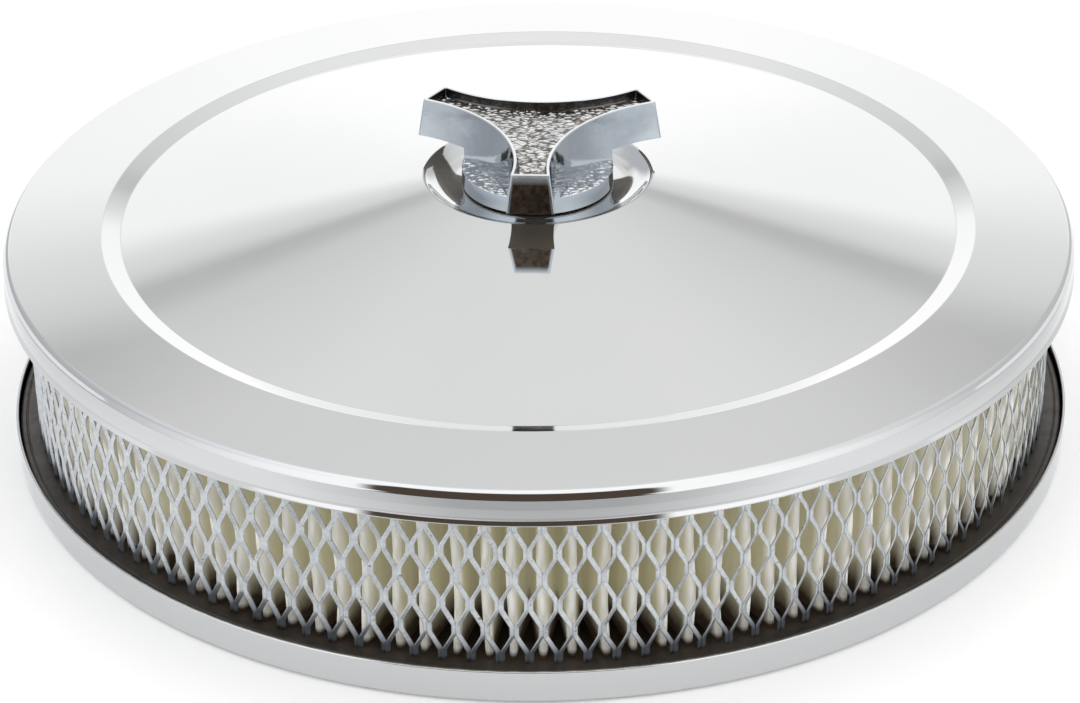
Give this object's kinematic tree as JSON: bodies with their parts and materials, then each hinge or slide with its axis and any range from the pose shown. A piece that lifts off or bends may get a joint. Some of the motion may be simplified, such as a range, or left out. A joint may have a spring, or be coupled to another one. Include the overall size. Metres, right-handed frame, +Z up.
{
  "type": "air filter housing",
  "caption": "Round chromed air filter housing for a carburettor: shallow pan, pleated paper element in a diamond screen, and a domed lid held by a three-armed wing nut.",
  "frame": {"origin": "on the axis of revolution, in the plane that the underside of the pan and its neck gasket rest on", "axes": "+Z up along the axis and the centre stud, from the carburettor side to the wing nut; one arm of the nut points near -Y"},
  "size_m": [0.26, 0.26, 0.0771],
  "materials": {
    "chrome": "mirror-bright chrome plate on drawn steel",
    "cast_chrome": "bright chrome plate on a zinc casting, pebble grain in the sunk top",
    "zinc_screen": "zinc-plated expanded steel, satin",
    "paper": "resin-treated pleated filter paper, matte ivory",
    "end_rubber": "soft moulded rubber, matte dark brown-black",
    "gasket_rubber": "moulded rubber, matte black",
    "stud_steel": "zinc-plated steel thread",
    "insert_steel": "turned brass",
    "clip_steel": "tinned strip"
  },
  "bodies": {
    "base": {"base_pan": "chrome", "neck_gasket": "gasket_rubber", "centre_stud": "stud_steel"},
    "element": {"lower_end_seal": "end_rubber", "upper_end_seal": "end_rubber", "outer_screen": "zinc_screen", "inner_screen": "zinc_screen", "pleated_media": "paper", "media_seam_clip": "clip_steel"},
    "lid": {"lid_shell": "chrome"},
    "nut_washer": {"wing_nut_washer": "gasket_rubber"},
    "wing_nut": {"wing_nut_insert": "insert_steel", "wing_nut_body": "cast_chrome"}
  },
  "joints": [
    {"name": "element_lift", "type": "slide", "parent": "base", "child": "element", "axis": [0, 0, 1], "range_m": [0, 0.08]},
    {"name": "lid_lift", "type": "slide", "parent": "element", "child": "lid", "axis": [0, 0, 1], "range_m": [0, 0.08]},
    {"name": "nut_rise", "type": "slide", "parent": "lid", "child": "nut_washer", "axis": [0, 0, 1], "range_m": [0, 0.0096]},
    {"name": "nut_turn", "type": "hinge", "parent": "nut_washer", "child": "wing_nut", "pos_m": [0, 0, 0.0621], "axis": [0, 0, 1], "range_deg": [0, 2700]}
  ],
  "couplings": [
    {"joint": "nut_rise", "follows": "nut_turn", "m_per_rad": 0.00020213}
  ]
}
